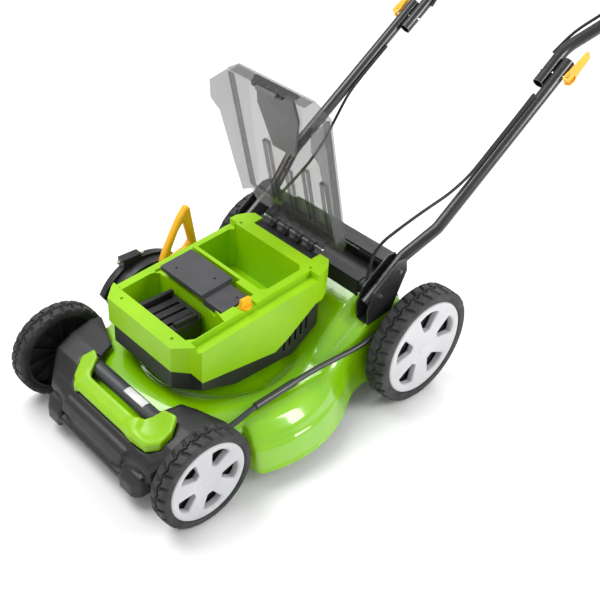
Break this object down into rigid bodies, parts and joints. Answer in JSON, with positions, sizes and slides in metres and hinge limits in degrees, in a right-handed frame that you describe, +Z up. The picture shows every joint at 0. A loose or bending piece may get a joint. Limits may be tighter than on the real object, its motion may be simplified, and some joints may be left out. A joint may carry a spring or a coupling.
{
  "type": "lawn mower",
  "caption": "Cordless walk-behind lawn mower with a green steel deck, open battery housing, cranked height-adjusted wheels and a folding tube handle.",
  "frame": {"origin": "on the ground, under the centre of the mower's overall box", "axes": "+Z up, +Y towards the operator and the handle, +X to the operator's left hand, which is the side of the visible link rod"},
  "size_m": [0.532, 1.541, 0.9794],
  "materials": {
    "deck_paint": "gloss",
    "green_plastic": "satin",
    "black_plastic": "matte",
    "dark_grey_plastic": "matte",
    "motor_alloy": "cast",
    "motor_iron": "laminated",
    "motor_steel": "turned",
    "bright_steel": "zinc plated",
    "black_steel": "satin",
    "black_tube": "gloss",
    "blade_steel": "satin",
    "cable_jacket": "matte",
    "black_rubber": "matte",
    "foam_grip": "foam",
    "orange_plastic": "satin",
    "smoked_lid": "smoked, transparent",
    "tyre_rubber": "matte",
    "cap_plastic": "satin"
  },
  "bodies": {
    "chassis": {"deck": "deck_paint", "side_hood": "black_plastic", "front_bumper": "black_plastic", "front_grip": "green_plastic", "front_bar": "dark_grey_plastic", "motor_housing": "green_plastic", "housing_base": "black_plastic", "battery_bracket": "dark_grey_plastic", "battery_socket": "black_plastic", "motor_can": "motor_alloy", "motor_stator": "motor_iron", "motor_bearings": "bright_steel", "discharge_chute": "black_plastic", "handle_brackets": "black_steel", "fasteners": "bright_steel", "lower_handle": "black_tube", "bail_cable": "cable_jacket", "power_cable": "cable_jacket", "cable_fittings": "black_rubber", "height_quadrant": "black_steel", "hinge_rods": "bright_steel", "hinge_ears": "black_plastic", "axle_hangers": "black_steel"},
    "front_axle": {"front_axle": "bright_steel", "front_axle_nuts": "bright_steel"},
    "rear_axle": {"rear_axle": "bright_steel", "rear_axle_nuts": "bright_steel"},
    "link_rod": {"link_rod": "black_steel"},
    "lever_link": {"lever_link": "black_steel"},
    "height_lever": {"height_lever": "black_steel", "height_grip": "orange_plastic"},
    "rotor": {"motor_rotor": "motor_steel", "blade_adapter": "motor_alloy", "blade": "blade_steel", "blade_bolt": "bright_steel"},
    "lid": {"lid": "smoked_lid", "lid_panel": "dark_grey_plastic"},
    "rear_flap": {"rear_flap": "black_plastic"},
    "side_door": {"side_door": "black_plastic"},
    "upper_handle": {"upper_handle": "black_tube", "handle_grip": "foam_grip", "switch_box": "black_plastic", "upper_cables": "cable_jacket"},
    "bail_lever": {"bail_lever": "black_tube"},
    "start_button": {"start_button": "green_plastic"},
    "cam_lever_left": {"cam_lever_left": "orange_plastic"},
    "cam_lever_right": {"cam_lever_right": "orange_plastic"},
    "safety_key": {"safety_key": "orange_plastic"},
    "front_left_wheel": {"front_left_tyre": "tyre_rubber", "front_left_core": "black_plastic", "front_left_cap": "cap_plastic"},
    "front_right_wheel": {"front_right_tyre": "tyre_rubber", "front_right_core": "black_plastic", "front_right_cap": "cap_plastic"},
    "rear_left_wheel": {"rear_left_tyre": "tyre_rubber", "rear_left_core": "black_plastic", "rear_left_cap": "cap_plastic"},
    "rear_right_wheel": {"rear_right_tyre": "tyre_rubber", "rear_right_core": "black_plastic", "rear_right_cap": "cap_plastic"}
  },
  "joints": [
    {"name": "rear_crank", "type": "hinge", "parent": "chassis", "child": "rear_axle", "pos_m": [0, -0.0847, 0.137], "axis": [1, 0, 0], "range_deg": [-35, 35]},
    {"name": "front_crank", "type": "hinge", "parent": "chassis", "child": "front_axle", "pos_m": [0, -0.6327, 0.108], "axis": [1, 0, 0], "range_deg": [-36, 36]},
    {"name": "height_lever_turn", "type": "hinge", "parent": "chassis", "child": "height_lever", "pos_m": [0, -0.3787, 0.16], "axis": [1, 0, 0], "range_deg": [-36, 36]},
    {"name": "link_rod_turn", "type": "hinge", "parent": "rear_axle", "child": "link_rod", "pos_m": [0, -0.0847, 0.168], "axis": [1, 0, 0], "range_deg": [-36, 36]},
    {"name": "lever_link_turn", "type": "hinge", "parent": "rear_axle", "child": "lever_link", "pos_m": [0, -0.0847, 0.168], "axis": [1, 0, 0], "range_deg": [-36, 36]},
    {"name": "front_left_wheel_spin", "type": "hinge", "parent": "front_axle", "child": "front_left_wheel", "pos_m": [0, -0.6707, 0.1], "axis": [1, 0, 0], "continuous": true},
    {"name": "front_right_wheel_spin", "type": "hinge", "parent": "front_axle", "child": "front_right_wheel", "pos_m": [0, -0.6707, 0.1], "axis": [1, 0, 0], "continuous": true},
    {"name": "rear_left_wheel_spin", "type": "hinge", "parent": "rear_axle", "child": "rear_left_wheel", "pos_m": [0, -0.1227, 0.129], "axis": [1, 0, 0], "continuous": true},
    {"name": "rear_right_wheel_spin", "type": "hinge", "parent": "rear_axle", "child": "rear_right_wheel", "pos_m": [0, -0.1227, 0.129], "axis": [1, 0, 0], "continuous": true},
    {"name": "blade_spin", "type": "hinge", "parent": "chassis", "child": "rotor", "pos_m": [0, -0.4517, 0.1], "axis": [0, 0, 1], "continuous": true},
    {"name": "lid_hinge", "type": "hinge", "parent": "chassis", "child": "lid", "pos_m": [0, -0.2567, 0.327], "axis": [1, 0, 0], "range_deg": [0, 82]},
    {"name": "rear_flap_hinge", "type": "hinge", "parent": "chassis", "child": "rear_flap", "pos_m": [0, -0.1407, 0.28], "axis": [1, 0, 0], "range_deg": [0, 70], "stiffness_Nm_per_rad": 0.6, "springref_deg": -28.65},
    {"name": "side_door_hinge", "type": "hinge", "parent": "chassis", "child": "side_door", "pos_m": [-0.247, -0.4517, 0.229], "axis": [0, 1, 0], "range_deg": [0, 70], "stiffness_Nm_per_rad": 0.5, "springref_deg": -28.65},
    {"name": "handle_fold", "type": "hinge", "parent": "chassis", "child": "upper_handle", "pos_m": [0, 0.2583, 0.60149], "axis": [1, 0, 0], "range_deg": [0, 120]},
    {"name": "bail_squeeze", "type": "hinge", "parent": "upper_handle", "child": "bail_lever", "pos_m": [0, 0.6883, 0.89757], "axis": [-1, 0, 0], "range_deg": [0, 34], "stiffness_Nm_per_rad": 0.8, "springref_deg": -22.92},
    {"name": "start_button_press", "type": "slide", "parent": "upper_handle", "child": "start_button", "axis": [0, 0, -1], "range_m": [0, 0.004], "stiffness_N_per_m": 400, "springref_m": -0.002},
    {"name": "cam_lever_left_turn", "type": "hinge", "parent": "chassis", "child": "cam_lever_left", "pos_m": [0.229, 0.2583, 0.60149], "axis": [0, 0.5878, -0.809], "range_deg": [0, 90]},
    {"name": "cam_lever_right_turn", "type": "hinge", "parent": "chassis", "child": "cam_lever_right", "pos_m": [-0.229, 0.2583, 0.60149], "axis": [0, -0.5878, 0.809], "range_deg": [0, 90]},
    {"name": "safety_key_pull", "type": "slide", "parent": "chassis", "child": "safety_key", "axis": [0, 0, -1], "range_m": [-0.04, 0]}
  ],
  "couplings": [
    {"joint": "front_crank", "follows": "rear_crank", "ratio": 1},
    {"joint": "height_lever_turn", "follows": "rear_crank", "ratio": 1},
    {"joint": "link_rod_turn", "follows": "rear_crank", "ratio": -1},
    {"joint": "lever_link_turn", "follows": "rear_crank", "ratio": -1}
  ]
}
